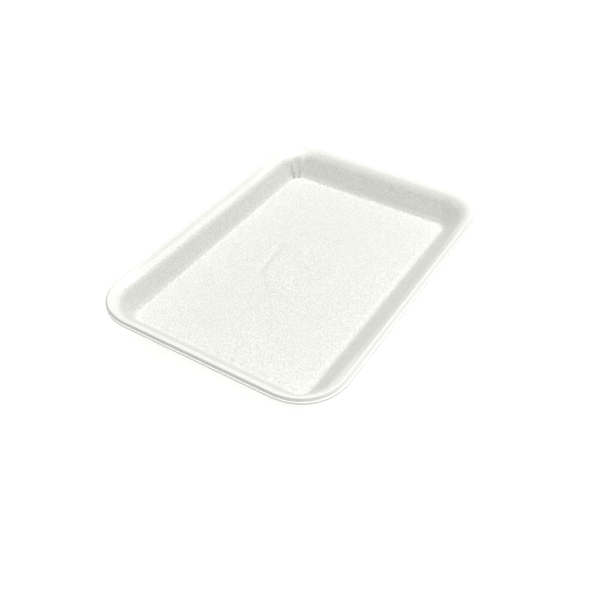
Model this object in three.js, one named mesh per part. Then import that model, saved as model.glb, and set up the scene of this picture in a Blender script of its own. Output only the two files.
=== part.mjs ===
// Shallow food tray, thermoformed in one piece from expanded polystyrene foam sheet.
// Units are millimetres. X runs across the tray, Y along it with the far end at +Y, Z is up.
// The origin is under the middle of the rim, on the surface that the tray stands on.

import * as THREE from "three";
import { mergeVertices } from "three/addons/utils/BufferGeometryUtils.js";

// Overall sizes, measured over the trimmed edge of the rim
const trayLength = 210;
const trayWidth = 148;
const innerDepth = 15.3;
const foamThickness = 3;
const rimCornerRadius = 26.6;

// Walls, as the distance in from the trimmed edge to the foot of each wall
const sideWallRun = 17.9;
const endWallRun = 19.3;
const footCornerRadius = 5.8;
const footFillet = 1.3;

// The sheet was trimmed a little off centre, so the formed rim and the floor are both shifted
const rimShiftX = -0.4;
const rimShiftY = -1.25;
const floorShiftX = -1.7;
const floorShiftY = -1.5;

// Rim section, with each inset taken from the trimmed edge and each drop from the crest
const edgeHeight = 1.8;
const edgeDrop = 0.9;
const lipInset = 0.9;
const lipDrop = 1.1;
const crestInset = 3.2;
const crestHalfWidth = 1.3;
const crestRounding = 0.35;
const beadFootInset = 6.4;
const sideBeadFootDrop = 1.5;
const endBeadFootDrop = 1;
const sideLedgeInset = 9;
const endLedgeInset = 7.4;
const ledgeDrop = 1.8;
const sideWallTopInset = 10.5;
const endWallTopInset = 8.4;
const wallTopDrop = 2.8;

// Underside of the rim and the outer face of the walls
const flangeThickness = 3;
const flangeUndersideRun = 6.6;
const undersideFillet = 1.2;
const baseEdgeOverFoot = 1.8;
const baseEdgeRadius = 1.4;

// Narrow channel round the floor, and the low panel that it frames
const channelWidth = 1.2;
const panelStepWidth = 1.1;
const panelHeight = 0.4;

// Plain oval pad in the middle of the panel
const padHalfWidth = 22;
const padHalfLength = 27;
const padHeight = 0.4;
const padStepWidth = 1.6;
const padCentreX = 1.5;
const padCentreY = -0.5;

// Two upright ribs in the far left corner, which keep nested trays apart
const ribAngles = [158, 128];
const ribHeight = 0.8;
const ribHalfWidth = 1.3;

// Fineness of the mesh
const plainCornerSteps = 12;
const ribbedCornerSteps = 28;
const sideSteps = 12;
const endSteps = 8;
const wallRows = 4;

const crestZ = foamThickness + innerDepth;
const trimShift = new THREE.Vector2(0, 0);
const rimShift = new THREE.Vector2(rimShiftX, rimShiftY);
const floorShift = new THREE.Vector2(floorShiftX, floorShiftY);
const foamMaterial = new THREE.MeshStandardMaterial({ color: 0xf6f6f0, roughness: 0.6, metalness: 0 });

// The four corners in the order that the loops run: near right, far right, far left, near left
const corners = [
  { signX: 1, signY: -1, start: -90, steps: plainCornerSteps },
  { signX: 1, signY: 1, start: 0, steps: plainCornerSteps },
  { signX: -1, signY: 1, start: 90, steps: ribbedCornerSteps },
  { signX: -1, signY: -1, start: 180, steps: plainCornerSteps },
];

// Corner points of a rounded rectangle, each with its direction and the corner that it is in
function cornerPoints(corner, halfX, halfY, radius) {
  const centreX = corner.signX * (halfX - radius);
  const centreY = corner.signY * (halfY - radius);
  const start = THREE.MathUtils.degToRad(corner.start);
  const arc = new THREE.EllipseCurve(centreX, centreY, radius, radius, start, start + Math.PI / 2);
  return arc.getPoints(corner.steps).map((point, index) => ({
    x: point.x,
    y: point.y,
    angle: corner.start + (90 * index) / corner.steps,
    ribbed: corner.steps === ribbedCornerSteps,
  }));
}

// Points between two corners, which leaves the corner points themselves out
function straightPoints(from, to, steps) {
  const points = [];
  for (let index = 1; index < steps; index += 1) {
    const share = index / steps;
    points.push({
      x: THREE.MathUtils.lerp(from.x, to.x, share),
      y: THREE.MathUtils.lerp(from.y, to.y, share),
      angle: from.angle,
      ribbed: false,
    });
  }
  return points;
}

// One loop round the tray: a rounded rectangle whose long sides and ends are set in from the
// trimmed edge by their own distances, and which is then shifted as a whole
function loop({ sideInset, endInset, radius, height, shift, ribShare = 0 }) {
  const halfX = trayWidth / 2 - sideInset;
  const halfY = trayLength / 2 - endInset;
  const arcs = corners.map((corner) => cornerPoints(corner, halfX, halfY, radius));
  const flat = [];
  arcs.forEach((arc, index) => {
    const next = arcs[(index + 1) % arcs.length];
    const steps = index % 2 === 0 ? sideSteps : endSteps;
    flat.push(...arc, ...straightPoints(arc[arc.length - 1], next[0], steps));
  });
  return flat.map((point) => {
    const rib = point.ribbed ? ribShare * ribHeight * ribProfile(point.angle, radius) : 0;
    const direction = THREE.MathUtils.degToRad(point.angle);
    return new THREE.Vector3(
      point.x - rib * Math.cos(direction) + shift.x,
      point.y - rib * Math.sin(direction) + shift.y,
      height(point, halfY, radius),
    );
  });
}

// Height of the ribs at one direction round the corner: a smooth hump on each rib's centre line
function ribProfile(angle, radius) {
  const humps = ribAngles.map((ribAngle) => {
    const away = (THREE.MathUtils.degToRad(angle - ribAngle) * radius) / ribHalfWidth;
    return Math.exp(-away * away);
  });
  return Math.max(...humps);
}

function level(height) {
  return () => height;
}

// The foot of the bead is deeper along the long sides than at the corners and ends
function beadFootHeight(point, halfY, radius) {
  const straightHalf = halfY - radius;
  const share = 1 - THREE.MathUtils.smoothstep(Math.abs(point.y), straightHalf / 2, straightHalf);
  return crestZ - THREE.MathUtils.lerp(endBeadFootDrop, sideBeadFootDrop, share);
}

// A shift part of the way between two others
function shiftBetween(from, to, share) {
  return from.clone().lerp(to, share);
}

// A loop of the rim. Its shift grows from nothing at the trimmed edge to the rim's at the crest.
function rimLoop(inset, height) {
  return loop({
    sideInset: inset,
    endInset: inset,
    radius: rimCornerRadius - inset,
    height: typeof height === "function" ? height : level(height),
    shift: shiftBetween(trimShift, rimShift, Math.min(inset / crestInset, 1)),
  });
}

// The edge of the ledge, which is wide along the sides and narrow at the ends
function ledgeLoop() {
  return loop({
    sideInset: sideLedgeInset,
    endInset: endLedgeInset,
    radius: rimCornerRadius - (sideLedgeInset + endLedgeInset) / 2,
    height: level(crestZ - ledgeDrop),
    shift: rimShift,
  });
}

// A loop set in from the foot of the wall, on the formed floor
function floorLoop(inward, height) {
  return loop({
    sideInset: sideWallRun + inward,
    endInset: endWallRun + inward,
    radius: footCornerRadius * (sideWallRun / (sideWallRun + inward)),
    height: level(height),
    shift: floorShift,
  });
}

// A loop part of the way down the inner wall, from the rim at 0 to the foot at 1
function wallLoop(share) {
  const topZ = crestZ - wallTopDrop;
  const topRadius = rimCornerRadius - (sideWallTopInset + endWallTopInset) / 2;
  return loop({
    sideInset: THREE.MathUtils.lerp(sideWallTopInset, sideWallRun, share),
    endInset: THREE.MathUtils.lerp(endWallTopInset, endWallRun, share),
    radius: THREE.MathUtils.lerp(topRadius, footCornerRadius, share),
    height: level(THREE.MathUtils.lerp(topZ, foamThickness, share)),
    shift: shiftBetween(rimShift, floorShift, share),
    ribShare: Math.sin(Math.PI * Math.sqrt(share)),
  });
}

// A loop part of the way down the outer wall, from the underside of the rim at 0 to the base at 1
function outerLoop(share) {
  const topZ = crestZ - edgeDrop - edgeHeight;
  return loop({
    sideInset: THREE.MathUtils.lerp(flangeUndersideRun, sideWallRun - baseEdgeOverFoot, share),
    endInset: THREE.MathUtils.lerp(flangeUndersideRun, endWallRun - baseEdgeOverFoot, share),
    radius: THREE.MathUtils.lerp(
      rimCornerRadius - flangeUndersideRun,
      footCornerRadius + baseEdgeOverFoot,
      share,
    ),
    height: level(THREE.MathUtils.lerp(topZ, 0, share)),
    shift: shiftBetween(rimShift, floorShift, share),
  });
}

// An oval with one point for each point of the panel's edge, in the same directions
function ovalLoop(panel, halfWidth, halfLength, height) {
  const centreX = floorShiftX + padCentreX;
  const centreY = floorShiftY + padCentreY;
  return panel.map((point) => {
    const turn = Math.atan2((point.y - centreY) / halfLength, (point.x - centreX) / halfWidth);
    return new THREE.Vector3(
      centreX + halfWidth * Math.cos(turn),
      centreY + halfLength * Math.sin(turn),
      height,
    );
  });
}

// The floor inside the foot: the channel, the step up to the panel, and the pad
function floorLoops() {
  const panelZ = foamThickness + panelHeight;
  const panel = floorLoop(footFillet + channelWidth + panelStepWidth, panelZ);
  return [
    ovalLoop(panel, padHalfWidth - padStepWidth, padHalfLength - padStepWidth, panelZ + padHeight),
    ovalLoop(panel, padHalfWidth, padHalfLength, panelZ),
    panel,
    floorLoop(footFillet + channelWidth, foamThickness),
    floorLoop(footFillet, foamThickness),
  ];
}

// The inner wall from its foot fillet up to the rim
function innerWallLoops() {
  const wallHeight = innerDepth - wallTopDrop;
  const filletShare = 1 - footFillet / wallHeight;
  const loops = [];
  for (let row = wallRows; row >= 0; row -= 1) {
    loops.push(wallLoop((filletShare * row) / wallRows));
  }
  return loops;
}

// Over the rim, from the ledge inside the bead to the lower corner of the trimmed edge
function rimLoops() {
  return [
    ledgeLoop(),
    rimLoop(beadFootInset, beadFootHeight),
    rimLoop(crestInset + crestHalfWidth, crestZ - crestRounding),
    rimLoop(crestInset, crestZ),
    rimLoop(crestInset - crestHalfWidth, crestZ - crestRounding),
    rimLoop(lipInset, crestZ - lipDrop),
    rimLoop(0, crestZ - edgeDrop),
    rimLoop(0, crestZ - edgeDrop - edgeHeight),
  ];
}

// Back under the rim, down the outside and round the edge of the base
function undersideLoops() {
  const wallHeight = crestZ - edgeDrop - edgeHeight;
  const filletShare = undersideFillet / wallHeight;
  const baseShare = 1 - baseEdgeRadius / wallHeight;
  const base = loop({
    sideInset: sideWallRun - baseEdgeOverFoot + baseEdgeRadius,
    endInset: endWallRun - baseEdgeOverFoot + baseEdgeRadius,
    radius: footCornerRadius + baseEdgeOverFoot - baseEdgeRadius,
    height: level(0),
    shift: floorShift,
  });
  return [
    rimLoop(flangeUndersideRun - undersideFillet, crestZ - crestRounding - flangeThickness),
    outerLoop(filletShare),
    outerLoop(THREE.MathUtils.lerp(filletShare, baseShare, 1 / 2)),
    outerLoop(baseShare),
    base,
  ];
}

// Triangles that close one loop, for a cap that faces up or down
function capTriangles(points, firstIndex, facesUp) {
  const outline = points.map((point) => new THREE.Vector2(point.x, point.y));
  return THREE.ShapeUtils.triangulateShape(outline, []).flatMap(([a, b, c]) => {
    const order = facesUp ? [a, b, c] : [a, c, b];
    return order.map((index) => firstIndex + index);
  });
}

// Skin over a run of loops, from the middle of the floor out, over the rim and under to the base
function skinLoops(loops) {
  const count = loops[0].length;
  const positions = loops.flat().flatMap((point) => [point.x, point.y, point.z]);
  const triangles = capTriangles(loops[0], 0, true);
  for (let row = 0; row + 1 < loops.length; row += 1) {
    for (let column = 0; column < count; column += 1) {
      const next = (column + 1) % count;
      const a = row * count + column;
      const b = row * count + next;
      const c = a + count;
      const d = b + count;
      triangles.push(a, c, d, a, d, b);
    }
  }
  const last = loops.length - 1;
  triangles.push(...capTriangles(loops[last], last * count, false));
  const geometry = new THREE.BufferGeometry();
  geometry.setAttribute("position", new THREE.Float32BufferAttribute(positions, 3));
  geometry.setIndex(triangles);
  const merged = mergeVertices(geometry);
  merged.computeVertexNormals();
  return merged;
}

function makeTray() {
  const loops = [...floorLoops(), ...innerWallLoops(), ...rimLoops(), ...undersideLoops()];
  const mesh = new THREE.Mesh(skinLoops(loops), foamMaterial);
  mesh.name = "foam_tray";
  return mesh;
}

const group = new THREE.Group();
group.add(makeTray());

export default group;
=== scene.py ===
# %% [markdown]
# A foam meat tray
#
# The tray is one sheet of expanded polystyrene foam, heated and pressed between two moulds, then
# trimmed round its rim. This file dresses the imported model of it: it makes a fine mesh in the same
# place, gives it a foam finish, and sets up a pale studio with the camera at the photo's angle.

# %% Load the frame
import math

import bmesh
import bpy
from mathutils import Euler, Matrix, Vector, noise


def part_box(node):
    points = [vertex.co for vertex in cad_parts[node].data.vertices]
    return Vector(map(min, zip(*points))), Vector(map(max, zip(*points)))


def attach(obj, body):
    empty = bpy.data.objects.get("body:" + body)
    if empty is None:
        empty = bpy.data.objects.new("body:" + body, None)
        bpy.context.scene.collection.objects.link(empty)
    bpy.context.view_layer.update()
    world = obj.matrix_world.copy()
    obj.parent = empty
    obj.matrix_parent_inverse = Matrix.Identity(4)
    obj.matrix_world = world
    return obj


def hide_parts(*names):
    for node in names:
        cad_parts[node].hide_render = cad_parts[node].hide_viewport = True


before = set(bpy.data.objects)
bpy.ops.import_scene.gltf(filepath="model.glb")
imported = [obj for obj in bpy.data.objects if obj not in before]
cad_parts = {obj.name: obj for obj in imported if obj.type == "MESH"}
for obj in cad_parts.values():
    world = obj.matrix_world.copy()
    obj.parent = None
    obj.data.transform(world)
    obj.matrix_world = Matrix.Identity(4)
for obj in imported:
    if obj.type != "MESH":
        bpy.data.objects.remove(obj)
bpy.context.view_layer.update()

tray_low, tray_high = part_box("foam_tray")
print("CAD box in mm:", [round(side * 1000, 2) for side in tray_high - tray_low])

# %% [markdown]
# Every size of the rim and walls is a distance that someone could measure on the tray. The overall
# width, length and height come from the frame, so the mesh can't drift away from it. The rest are
# insets from the trimmed edge and drops from the crest of the rim, in millimetres.
#
# The real tray was trimmed a little off centre. RIM_SHIFT moves the bead and FLOOR_SHIFT the floor,
# while the trimmed edge stays where the frame has it. The bead's shift grows from nothing at the
# edge to its full size at FULL_SHIFT_INSET.

# %% Sizes
MM = 0.001
half_width = (tray_high.x - tray_low.x) / 2 / MM
half_length = (tray_high.y - tray_low.y) / 2 / MM
crest_height = tray_high.z / MM
FOAM_THICKNESS = 3.0
RIM_CORNER_RADIUS = 26.6
FOOT_CORNER_RADIUS = 5.8
SIDE_FOOT_INSET = 17.9
END_FOOT_INSET = 19.3
RIM_SHIFT = Vector((-0.4, -1.8))
FLOOR_SHIFT = Vector((-1.7, -1.5))
FULL_SHIFT_INSET = 5.1
print("crest height:", round(crest_height, 2), "mm, half width:", round(half_width, 2), "mm")

# %% [markdown]
# A ring is one closed line round the tray: a rounded rectangle whose height can differ between the
# left side, the right side and the ends. Each ring knows its half sizes, corner radius, centre and
# heights. Growing the tray means moving points from one ring to the matching place on the next, so
# a helper does just that and keeps round corners round.

# %% Rings round the tray
def smoothstep(value):
    """Eases from 0 to 1 as the value goes from 0 to 1, and stays level past both."""
    share = max(0.0, min(1.0, value))
    return share * share * (3 - 2 * share)


def ring(left, right, ends, radius, shift, heights):
    """Insets of the left side, right side and ends, with the height at each."""
    half = Vector((half_width - (left + right) / 2, half_length - ends))
    centre = Vector((shift.x + (left - right) / 2, shift.y))
    return {"half": half, "radius": radius, "centre": centre, "heights": Vector(heights)}


def height_at(level, x, y):
    """The height of a ring where it passes a place, in millimetres. A side eases to an end's."""
    left, right, ends = level["heights"]
    side = left if x < level["centre"].x else right
    straight = level["half"].y - level["radius"]
    at_end = smoothstep(abs(y - level["centre"].y) / straight * 2 - 1)
    return side + (ends - side) * at_end


def carry(vert, old, new):
    """Moves a point of one ring to the same place on another."""
    place = []
    for axis in (0, 1):
        local = vert.co[axis] / MM - old["centre"][axis]
        core = old["half"][axis] - old["radius"]
        inside = max(-core, min(core, local))
        outside = (local - inside) / old["radius"]
        new_core = new["half"][axis] - new["radius"]
        place.append(inside / core * new_core + outside * new["radius"] + new["centre"][axis])
    vert.co = Vector((*place, height_at(new, *place))) * MM


def between(share, top, bottom):
    """A ring part of the way from one ring to another."""
    radius = top["radius"] + (bottom["radius"] - top["radius"]) * share
    mixed = {key: top[key].lerp(bottom[key], share) for key in ("half", "centre", "heights")}
    return {**mixed, "radius": radius}


print("rim outline:", round(2 * half_width, 1), "x", round(2 * half_length, 1), "mm")

# %% [markdown]
# Three kinds of ring are all that the tray needs. Those of the rim are measured in from the
# trimmed edge, those of the floor inwards from the foot of the wall, and those of the base
# outwards from it.

# %% Rings of the rim, the floor and the base
def rim_ring(left, right=None, ends=None):
    """A ring of the rim from an inset and a drop on the left, on the right and at the ends."""
    right = right or left
    ends = ends or left
    radius = RIM_CORNER_RADIUS - ((left[0] + right[0]) / 2 + ends[0]) / 2
    heights = [crest_height - drop for inset, drop in (left, right, ends)]
    share = min(ends[0] / FULL_SHIFT_INSET, 1)
    return ring(left[0], right[0], ends[0], radius, RIM_SHIFT * share, heights)


def flat_ring(side, ends, radius, height):
    """A level ring of the floor or base, the same on the left and the right."""
    return ring(side, side, ends, radius, FLOOR_SHIFT, (height, height, height))


def floor_ring(inward, height):
    """A ring on the formed floor. Its corners get a little tighter on the way in."""
    radius = FOOT_CORNER_RADIUS * SIDE_FOOT_INSET / (SIDE_FOOT_INSET + inward)
    return flat_ring(SIDE_FOOT_INSET + inward, END_FOOT_INSET + inward, radius, height)


def base_ring(outward):
    """A ring on the ground. Its corners keep the same middles as the foot's."""
    side = SIDE_FOOT_INSET - outward
    return flat_ring(side, END_FOOT_INSET - outward, FOOT_CORNER_RADIUS + outward, 0.0)


PANEL_INSET = 3.6
PANEL_HEIGHT = 0.4
panel_level = FOAM_THICKNESS + PANEL_HEIGHT
panel = floor_ring(PANEL_INSET, panel_level)
print("panel:", [round(2 * size, 1) for size in panel["half"]], "mm")

# %% [markdown]
# The floor comes first. A grid gives it even squares, which take a gentle unevenness well, and a
# vertex bevel rounds its four corners. A single big face would leave nothing to bend.

# %% Floor panel
FLOOR_CELL = 5
CORNER_SEGMENTS = 6
cells_across = round(2 * panel["half"].x / FLOOR_CELL)
cells_along = round(2 * panel["half"].y / FLOOR_CELL)
shell = bmesh.new()
crease = shell.edges.layers.float.new("crease_edge")
bmesh.ops.create_grid(shell, x_segments=cells_across, y_segments=cells_along, size=1)
for vert in shell.verts:
    vert.co.x = (vert.co.x * panel["half"].x + panel["centre"].x) * MM
    vert.co.y = (vert.co.y * panel["half"].y + panel["centre"].y) * MM
    vert.co.z = panel_level * MM
corners = [vert for vert in shell.verts if len(vert.link_edges) == 2]
bmesh.ops.bevel(
    shell, geom=corners, offset=panel["radius"] * MM, offset_type="OFFSET", affect="VERTICES",
    segments=CORNER_SEGMENTS, profile=0.5, material=-1,
)
border = [edge for edge in shell.edges if edge.is_boundary]
floor_faces = list(shell.faces)
print("floor grid:", cells_across, "x", cells_along, "cells,", len(border), "points round it")

# %% [markdown]
# From the floor's border the tray grows outwards, as the sheet was drawn by the mould. A narrow
# channel runs round the panel. The wall goes up from it in a straight slope, with its rings closer
# together where it bends, at the foot and at the top.

# %% Rings of the channel and the wall
CHANNEL_STEPS = ((3.1, 0.38), (2.3, 0.02), (1.3, 0.0))
WALL_SHARES = (0.985, 0.93, 0.72, 0.48, 0.24, 0.06)
foot = floor_ring(0, FOAM_THICKNESS)
wall_top = rim_ring((10.2, 3.0), (8.6, 5.7), (8.7, 4.0))
channel_rings = [floor_ring(inward, FOAM_THICKNESS + rise) for inward, rise in CHANNEL_STEPS]
wall_rings = [between(share, wall_top, foot) for share in WALL_SHARES]
print("wall on the left:", round(wall_top["heights"][0] - FOAM_THICKNESS, 1), "mm high")

# %% [markdown]
# The rim is where the tray gets its stiffness. Inside it runs a ledge. On the left the ledge is
# nearly level, with a groove between it and the bead, and on the right and at the ends it slopes up
# to the bead. Outside the round bead a thin lip ends in the trimmed edge. Each ring is given by its
# (inset, drop) on the left side, the right side and the ends, or by one pair where it is the same
# all round.

# %% Rings of the rim
ledge_rings = [
    rim_ring((9.6, 2.4), (8.0, 5.1), (8.1, 3.4)),
    rim_ring((9.1, 1.95), (7.4, 4.55), (7.6, 2.9)),
    rim_ring((8.6, 1.8), (6.9, 4.1), (7.1, 2.4)),
    rim_ring((7.5, 1.85), (6.3, 3.6), (6.6, 1.9)),
]
groove_rings = [
    rim_ring((6.4, 2.95), (5.7, 3.0), (6.0, 1.35)),
    rim_ring((5.6, 2.95), (5.0, 2.35), (5.5, 0.9)),
]
bead_rings = [
    rim_ring((4.0, 0.4), (3.6, 0.35), (4.6, 0.25)),
    rim_ring((3.4, 0.05), (3.2, 0.05), (4.1, 0.03)),
    rim_ring((2.9, 0.0), (2.8, 0.0), (3.4, 0.0)),
    rim_ring((2.4, 0.02)),
    rim_ring((2.1, 0.15)),
    rim_ring((1.4, 1.15)),
]
lip_rings = [rim_ring((1.1, 1.55)), rim_ring((0.5, 1.6))]
edge_rings = [rim_ring((0.01, 1.6)), rim_ring((0.01, 2.7))]
inner_rings = channel_rings + wall_rings + ledge_rings + groove_rings + bead_rings + lip_rings
print("rings inside and over the rim:", len(inner_rings))

# %% [markdown]
# The underside follows the sheet back down, about the foam's thickness away from the inside, to a
# flat base with a rounded edge. The photo doesn't show it, so it is kept plain.

# %% Rings underneath
UNDER_WALL_SHARES = (0.05, 0.3, 0.6, 0.86, 0.97)
BASE_CORNER_REACH = 1.8
BASE_EDGE_REACH = 0.4
BASE_MIDDLE_INSET = 40
BASE_MIDDLE_RADIUS = 4
BASE_INNER_SHARE = 0.2
under_rim_rings = [
    rim_ring((0.8, 2.85)),
    rim_ring((2.4, 3.1)),
    rim_ring((4.8, 3.8), (3.2, 3.3), (3.2, 3.3)),
]
under_wall_top = rim_ring((6.6, 4.3), (4.4, 3.7), (4.4, 3.6))
base_corner = base_ring(BASE_CORNER_REACH)
base_edge = base_ring(BASE_EDGE_REACH)
base_middle = flat_ring(BASE_MIDDLE_INSET, BASE_MIDDLE_INSET, BASE_MIDDLE_RADIUS, 0.0)
under_wall_rings = [between(share, under_wall_top, base_corner) for share in UNDER_WALL_SHARES]
base_rings = [base_edge, between(BASE_INNER_SHARE, base_edge, base_middle)]
outer_rings = under_rim_rings + under_wall_rings + base_rings
print("rings underneath:", len(outer_rings))

# %% [markdown]
# Extruding the border once for each ring keeps the same points round every ring, so the corners
# stay clean. A strong crease keeps the two corners of the trimmed edge crisp when the mesh is
# smoothed.

# %% Grow the shell
EDGE_CREASE = 0.7


def grow(edges, old, new, sharpness):
    """Extrudes the open border and carries it to the next ring."""
    made = bmesh.ops.extrude_edge_only(shell, edges=edges)["geom"]
    for vert in (item for item in made if isinstance(item, bmesh.types.BMVert)):
        carry(vert, old, new)
    fresh = [item for item in made if isinstance(item, bmesh.types.BMEdge) and item.is_boundary]
    for edge in fresh:
        edge[crease] = sharpness
    return fresh


here = panel
for next_ring in inner_rings + edge_rings + outer_rings:
    border = grow(border, here, next_ring, EDGE_CREASE if next_ring in edge_rings else 0)
    here = next_ring
print("faces so far:", len(shell.faces))

# %% [markdown]
# The base closes the shell. A copy of the floor's grid, turned over and laid on the ground, has the
# same points round it as the last ring, so the two are welded point to point. That keeps the base
# in even squares, which smooth cleanly.

# %% Base
GROUND_TOLERANCE = 1e-6
WELD_DISTANCE = 1e-5
floor_parts = [part for face in floor_faces for part in (face, *face.edges, *face.verts)]
floor_copy = bmesh.ops.duplicate(shell, geom=list(dict.fromkeys(floor_parts)))["geom"]
base_faces = [item for item in floor_copy if isinstance(item, bmesh.types.BMFace)]
bmesh.ops.reverse_faces(shell, faces=base_faces)
for vert in (item for item in floor_copy if isinstance(item, bmesh.types.BMVert)):
    carry(vert, panel, here)
on_ground = [vert for vert in shell.verts if vert.co.z < GROUND_TOLERANCE]
bmesh.ops.remove_doubles(shell, verts=on_ground, dist=WELD_DISTANCE)
bmesh.ops.recalc_face_normals(shell, faces=shell.faces)
print("open edges:", sum(1 for edge in shell.edges if edge.is_boundary), "faces:", len(shell.faces))

# %% [markdown]
# The moulded sheet has no hard corners apart from its trimmed edge, so a Subdivision Surface turns
# the rings into smooth bends. It is applied here and not left live, because the next step moves the
# fine points one by one.

# %% Shell mesh
SMOOTH_LEVELS = 2
mesh = bpy.data.meshes.new("foam_shell")
shell.to_mesh(mesh)
shell.free()
tray = bpy.data.objects.new("foam_shell", mesh)
bpy.context.scene.collection.objects.link(tray)
smooth = tray.modifiers.new("Smooth", "SUBSURF")
smooth.levels = SMOOTH_LEVELS
smooth.render_levels = SMOOTH_LEVELS
bpy.context.view_layer.update()
fine = bpy.data.meshes.new_from_object(tray.evaluated_get(bpy.context.evaluated_depsgraph_get()))
tray.modifiers.remove(smooth)
tray.data = fine
fine.shade_smooth()
print("fine mesh:", len(fine.vertices), "points,", len(fine.polygons), "faces")

# %% [markdown]
# A foam floor is never quite flat. Its middle carries a plain oval pad with a straight crease
# pressed along its left side, and the whole panel has shallow waves from the mould and from
# stacking, which fade out towards the channel. A bump in the material only changes the shading, so
# all of it is moved into the mesh itself, where it holds from any side.

# %% Pad and waves
PAD_CENTRE = Vector((-0.2, -2.0))
PAD_HALF_WIDTH = 22
PAD_HALF_LENGTH = 27
PAD_HEIGHT = 0.6
PAD_STEP = 2.2
PAD_CREASE_DEPTH = 1.0
PAD_CREASE_HALF_WIDTH = 1.6
PAD_CREASE_HALF_LENGTH = 20
PAD_CREASE_LEAN = 2
WAVE_HEIGHT = 0.25
WAVE_LENGTH = 34
WAVE_FADE = 8


def floor_change(x, y):
    """How far the panel rises or sinks at one place."""
    local = Vector((x, y)) - panel["centre"]
    room = min(panel["half"].x - abs(local.x), panel["half"].y - abs(local.y))
    spread = math.hypot((x - PAD_CENTRE.x) / PAD_HALF_WIDTH, (y - PAD_CENTRE.y) / PAD_HALF_LENGTH)
    pad = PAD_HEIGHT * smoothstep((1 - spread) * PAD_HALF_WIDTH / PAD_STEP)
    along = (y - PAD_CENTRE.y) / PAD_CREASE_HALF_LENGTH
    across = (x - PAD_CENTRE.x + PAD_HALF_WIDTH + PAD_CREASE_LEAN * along) / PAD_CREASE_HALF_WIDTH
    pad -= PAD_CREASE_DEPTH * smoothstep(2 - 2 * abs(along)) * math.exp(-across * across)
    wave = noise.noise(Vector((x, y, 0)) / WAVE_LENGTH) * WAVE_HEIGHT
    return (pad + wave * smoothstep(room / WAVE_FADE)) if room > 0 else 0


print("pad:", 2 * PAD_HALF_WIDTH, "x", 2 * PAD_HALF_LENGTH, "mm, waves up to", WAVE_HEIGHT, "mm")

# %% [markdown]
# Two upright creases stand in the far left corner, where the sheet was gathered. Each is a narrow
# hump on the inside of the wall, at a fixed angle round the corner. A power a little under 1 sets
# it fullest just below the middle of the wall, and it is gone at the foot and at the ledge.

# %% Corner creases
FOLD_ANGLES = (153, 124)
FOLD_HEIGHT = 2.2
FOLD_HALF_WIDTH = 1.1
FOLD_POWER = 0.8
FOLD_TOP_SHARE = 1.05
FOLD_WALL_REACH = 1.5


def corner_fold(x, y, z):
    """How far a point on the wall of the far left corner moves in, as a flat vector."""
    wall_height = wall_top["heights"][0] - FOAM_THICKNESS
    share = (z - FOAM_THICKNESS) / wall_height
    level = between(1 - share, wall_top, foot)
    core = level["half"] - Vector((level["radius"], level["radius"]))
    out = Vector((x, y)) - (Vector((-core.x, core.y)) + level["centre"])
    off_wall = abs(out.length - level["radius"])
    if not 0 < share < FOLD_TOP_SHARE or out.x > 0 or out.y < 0 or off_wall > FOLD_WALL_REACH:
        return Vector((0, 0))
    angle = math.degrees(math.atan2(out.y, out.x))
    away = [math.radians(angle - fold) * out.length / FOLD_HALF_WIDTH for fold in FOLD_ANGLES]
    hump = max(math.exp(-value * value) for value in away)
    return -out.normalized() * FOLD_HEIGHT * hump * math.sin(math.pi * min(share, 1) ** FOLD_POWER)


print("creases:", FOLD_HEIGHT, "mm high at", FOLD_ANGLES, "degrees")

# %% [markdown]
# The panel's points are found by their height. A few points of the wall lie at that height too, and
# floor_change leaves them alone, because they are outside the panel. Every other point above the
# foam's thickness is on the wall or the rim, where only the far left corner moves.

# %% Move the fine points
PANEL_TOLERANCE = 0.1
for vert in fine.vertices:
    x, y, z = (value / MM for value in vert.co)
    if abs(z - panel_level) < PANEL_TOLERANCE:
        vert.co.z += floor_change(x, y) * MM
    elif z > FOAM_THICKNESS:
        vert.co.xy += corner_fold(x, y, z) * MM
heights = [vert.co.z / MM for vert in fine.vertices]
print("mesh from", round(min(heights), 2), "to", round(max(heights), 2), "mm high")

# %% [markdown]
# Colours are written as the hex values that a paint program shows. Blender's shaders work in linear
# light, so one function turns them over, with the curve and constants of the sRGB standard.

# %% Colour helper
def linear(hex_colour):
    """An sRGB hex value as the linear colour that the shader takes."""
    colour = []
    for start in (1, 3, 5):
        value = int(hex_colour[start:start + 2], 16) / 255
        colour.append(value / 12.92 if value <= 0.04045 else ((value + 0.055) / 1.055) ** 2.4)
    return (*colour, 1)


print("paper white:", [round(value, 3) for value in linear("#FFFFFF")])

# %% [markdown]
# One small function adds a node, fills in its settings and makes its links. With it a finish reads
# as a short list of steps.

# %% Node helper
def add_node(tree, kind, settings=(), inputs=(), links=()):
    """Adds a node, sets its options and input values, and links other sockets into it."""
    node = tree.nodes.new(kind)
    for name, value in settings:
        setattr(node, name, value)
    for name, value in inputs:
        node.inputs[name].default_value = value
    for name, socket in links:
        tree.links.new(socket, node.inputs[name])
    return node


def new_material(name):
    """An empty material, ready for its own nodes."""
    material = bpy.data.materials.new(name)
    material.use_nodes = True
    material.node_tree.nodes.clear()
    return material


foam = new_material("thermoformed_expanded_polystyrene")
print("material:", foam.name)

# %% [markdown]
# Thermoformed expanded polystyrene foam is a mass of tiny closed cells under a thin melted skin.
# The eye sees a soft white with a faint sheen and a fine pebble grain, clearest on the flat floor
# and pulled smoother on the walls and rim. GRAIN_MM is the width of one pebble, since the cells
# themselves are too fine to show. The grain gives both the bump and a slight change of tint, and
# most of the noise lies between NOISE_LOW and NOISE_HIGH.

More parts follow.
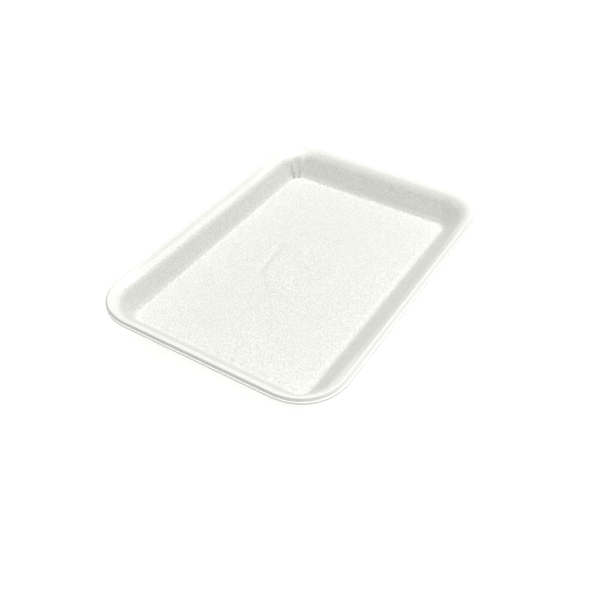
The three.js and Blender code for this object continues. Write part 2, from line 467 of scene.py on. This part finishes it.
# %% Foam grain
GRAIN_MM = 0.9
GRAIN_DEPTH = 0.75
GRAIN_FULL_BELOW = 4.4
GRAIN_FAINT_ABOVE = 6.5
GRAIN_ON_WALLS = 0.2
NOISE_LOW = 0.38
NOISE_HIGH = 0.62
HOLLOW_TINT = "#E9E9E2"
PEBBLE_TINT = "#FFFFFB"
tree = foam.node_tree
place = add_node(tree, "ShaderNodeTexCoord")
height = add_node(tree, "ShaderNodeSeparateXYZ", links=[("Vector", place.outputs["Object"])])
on_floor = add_node(
    tree, "ShaderNodeMapRange",
    inputs=[
        ("From Min", GRAIN_FULL_BELOW * MM), ("From Max", GRAIN_FAINT_ABOVE * MM),
        ("To Min", 1.0), ("To Max", GRAIN_ON_WALLS),
    ],
    links=[("Value", height.outputs["Z"])],
)
grain = add_node(
    tree, "ShaderNodeTexNoise",
    inputs=[("Scale", 1 / (GRAIN_MM * MM)), ("Detail", 2.0), ("Roughness", 0.6)],
    links=[("Vector", place.outputs["Object"])],
)
bump = add_node(
    tree, "ShaderNodeBump", inputs=[("Distance", GRAIN_DEPTH * MM)],
    links=[("Height", grain.outputs["Fac"]), ("Strength", on_floor.outputs["Result"])],
)
shade = add_node(
    tree, "ShaderNodeMapRange", inputs=[("From Min", NOISE_LOW), ("From Max", NOISE_HIGH)],
    links=[("Value", grain.outputs["Fac"])],
)
tint = add_node(
    tree, "ShaderNodeMix", settings=[("data_type", "RGBA")],
    links=[("Factor", shade.outputs["Result"])],
)
tint.inputs["A"].default_value = linear(HOLLOW_TINT)
tint.inputs["B"].default_value = linear(PEBBLE_TINT)
print("grain:", GRAIN_MM, "mm wide")

# %% [markdown]
# The walls are painted a touch greyer than the floor. That grey is painted shade: the sloping walls
# take less light, and the paint deepens it. The rim is painted whiter and smoother. The smoother
# tint is its pressed, closed skin hiding the grain; the extra white is a painted highlight on the
# crest.
# Both follow the height, as a share of the way from the ground to the crest, because walls and rim
# go all round the tray at much the same height.

# %% Foam walls, rim and surface
WALL_STOPS = ((0.22, 0), (0.34, 1), (0.72, 1), (0.87, 0))
# Painted shade: this grey darkens the walls for the light their slope loses; the foam itself is no
# greyer there.
WALL_SHADE_TINT = "#EDEDED"
RIM_STARTS = 0.86
RIM_FULL = 0.91
RIM_SKIN_AND_HIGHLIGHT_SHARE = 0.6
# Partly real, partly painted highlight: this white evens out the grain's tint on the pressed rim and
# lightens the crest as its sheen would.
RIM_SKIN_AND_HIGHLIGHT_TINT = "#FAFAF6"
height_share = add_node(
    tree, "ShaderNodeMapRange", inputs=[("From Max", crest_height * MM)],
    links=[("Value", height.outputs["Z"])],
)
wall_shade_mask = add_node(
    tree, "ShaderNodeValToRGB", links=[("Fac", height_share.outputs["Result"])],
)
stops = wall_shade_mask.color_ramp.elements
for number, (position, value) in enumerate(WALL_STOPS):
    stop = stops[number] if number < len(stops) else stops.new(position)
    stop.position = position
    stop.color = (value, value, value, 1)
# Painted shade on the walls: the grey is multiplied into the foam's tint between the floor and the
# rim.
wall_shade = add_node(
    tree, "ShaderNodeMix", settings=[("data_type", "RGBA"), ("blend_type", "MULTIPLY")],
    links=[("Factor", wall_shade_mask.outputs["Color"]), ("A", tint.outputs["Result"])],
)
wall_shade.inputs["B"].default_value = linear(WALL_SHADE_TINT)
rim_share = add_node(
    tree, "ShaderNodeMapRange",
    inputs=[("From Min", RIM_STARTS), ("From Max", RIM_FULL), ("To Max", RIM_SKIN_AND_HIGHLIGHT_SHARE)],
    links=[("Value", height_share.outputs["Result"])],
)
# The rim's colour: less grain tint from its closed skin, plus a painted highlight on the crest.
skin_and_highlight = add_node(
    tree, "ShaderNodeMix", settings=[("data_type", "RGBA")],
    links=[("Factor", rim_share.outputs["Result"]), ("A", wall_shade.outputs["Result"])],
)
skin_and_highlight.inputs["B"].default_value = linear(RIM_SKIN_AND_HIGHLIGHT_TINT)
foam_surface = add_node(
    tree, "ShaderNodeBsdfPrincipled",
    inputs=[("Roughness", 0.4), ("IOR", 1.5)],
    links=[("Base Color", skin_and_highlight.outputs["Result"]), ("Normal", bump.outputs["Normal"])],
)
add_node(tree, "ShaderNodeOutputMaterial", links=[("Surface", foam_surface.outputs["BSDF"])])
fine.materials.clear()
fine.materials.append(foam)
print("foam nodes:", len(tree.nodes))

# %% [markdown]
# The finished piece rides on the tray's body and stands for its plain solid.

# %% Fit the piece to the frame
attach(tray, "root")
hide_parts("foam_tray")
print("piece:", tray.name)

# %% [markdown]
# The tray stands on plain white paper. The paper is lit like anything else, so it keeps the tray's
# soft shadow. Where the camera sees it, straight or in a reflection, a little light of its own
# lifts it to white. Other rays miss that light, so it doesn't fill the shadow.

# %% Floor
FLOOR_HALF = 1.5
FLOOR_LIFT = 0.7
PAPER_TINT = "#F8F8F8"
PAPER_ROUGHNESS = 0.9
ground = bmesh.new()
bmesh.ops.create_grid(ground, x_segments=1, y_segments=1, size=FLOOR_HALF)
ground_mesh = bpy.data.meshes.new("studio_floor")
ground.to_mesh(ground_mesh)
ground.free()
studio_floor = bpy.data.objects.new("studio_floor", ground_mesh)
bpy.context.scene.collection.objects.link(studio_floor)
paper = new_material("white_paper_sweep")
tree = paper.node_tree
rays = add_node(tree, "ShaderNodeLightPath")
seen = add_node(
    tree, "ShaderNodeMath", settings=[("operation", "MAXIMUM")],
    links=[(0, rays.outputs["Is Camera Ray"]), (1, rays.outputs["Is Glossy Ray"])],
)
lift = add_node(
    tree, "ShaderNodeMath", settings=[("operation", "MULTIPLY")],
    inputs=[(1, FLOOR_LIFT)], links=[(0, seen.outputs["Value"])],
)
paper_surface = add_node(
    tree, "ShaderNodeBsdfPrincipled",
    inputs=[
        ("Base Color", linear(PAPER_TINT)), ("Roughness", PAPER_ROUGHNESS),
        ("Emission Color", linear("#FFFFFF")),
    ],
    links=[("Emission Strength", lift.outputs["Value"])],
)
add_node(tree, "ShaderNodeOutputMaterial", links=[("Surface", paper_surface.outputs["BSDF"])])
ground_mesh.materials.append(paper)
print("floor:", 2 * FLOOR_HALF, "m square")

# %% [markdown]
# The world fills in the shadows with an even, weak light. The camera alone sees it at full
# strength, so the background is white and no extra light falls on the tray.

# %% World
WORLD_STRENGTH = 0.26
world = bpy.data.worlds.new("studio_world")
world.use_nodes = True
world.node_tree.nodes.clear()
bpy.context.scene.world = world
tree = world.node_tree
rays = add_node(tree, "ShaderNodeLightPath")
strength = add_node(
    tree, "ShaderNodeMapRange", inputs=[("To Min", WORLD_STRENGTH), ("To Max", 1.0)],
    links=[("Value", rays.outputs["Is Camera Ray"])],
)
sky = add_node(
    tree, "ShaderNodeBackground", inputs=[("Color", linear("#FFFFFF"))],
    links=[("Strength", strength.outputs["Result"])],
)
add_node(tree, "ShaderNodeOutputWorld", links=[("Surface", sky.outputs["Background"])])
print("world:", WORLD_STRENGTH)

# %% [markdown]
# The main light is one broad soft box, nearly overhead and a little to the far right. The sloping
# walls catch less of it than the level floor does, which is what draws a white tray on white.

# %% Key light
KEY_POWER = 19.7
KEY_SIZE = 0.8
KEY_PLACE = Vector((0.2, 0.33, 1.43))
key_light = bpy.data.lights.new("key_box", "AREA")
key_light.shape = "SQUARE"
key_light.size = KEY_SIZE
key_light.energy = KEY_POWER
key_box = bpy.data.objects.new("key_box", key_light)
key_box.location = KEY_PLACE
key_box.rotation_euler = (-KEY_PLACE).to_track_quat("-Z", "Y").to_euler()
bpy.context.scene.collection.objects.link(key_box)
print("key:", KEY_POWER, "W")

# %% [markdown]
# The camera stands where the photo's perspective puts it: off the near right corner, looking down
# on the tray at about 41 degrees. Its distance and lens were worked out from the rim and the floor
# of the tray.

# %% Camera
CAMERA_AZIMUTH = math.radians(31.69)
CAMERA_ELEVATION = math.radians(41.25)
CAMERA_ROLL = math.radians(0.28)
CAMERA_DISTANCE = 436.5 * MM
CAMERA_TARGET = Vector((13.44 * MM, -25.41 * MM, FOAM_THICKNESS * MM))
CAMERA_CLIP = 10 * MM
IMAGE_WIDTH = 600
FOCAL_PIXELS = 767.8
SENSOR_WIDTH = 36

lens = bpy.data.cameras.new("photo_camera")
lens.sensor_width = SENSOR_WIDTH
lens.lens = FOCAL_PIXELS / IMAGE_WIDTH * SENSOR_WIDTH
lens.clip_start = CAMERA_CLIP
camera = bpy.data.objects.new("photo_camera", lens)
back = Vector((
    math.sin(CAMERA_AZIMUTH) * math.cos(CAMERA_ELEVATION),
    -math.cos(CAMERA_AZIMUTH) * math.cos(CAMERA_ELEVATION),
    math.sin(CAMERA_ELEVATION),
))
camera.location = CAMERA_TARGET + back * CAMERA_DISTANCE
turn = back.to_track_quat("Z", "Y").to_matrix() @ Euler((0, 0, CAMERA_ROLL)).to_matrix()
camera.rotation_euler = turn.to_euler()
bpy.context.scene.collection.objects.link(camera)
bpy.context.scene.camera = camera
bpy.context.scene.view_settings.view_transform = "Standard"
print("lens:", round(lens.lens, 2), "mm, camera at", [round(value, 3) for value in camera.location])

# %% [markdown]
# Last, the scene is brought up to date.

# %% Update the scene
bpy.context.view_layer.update()
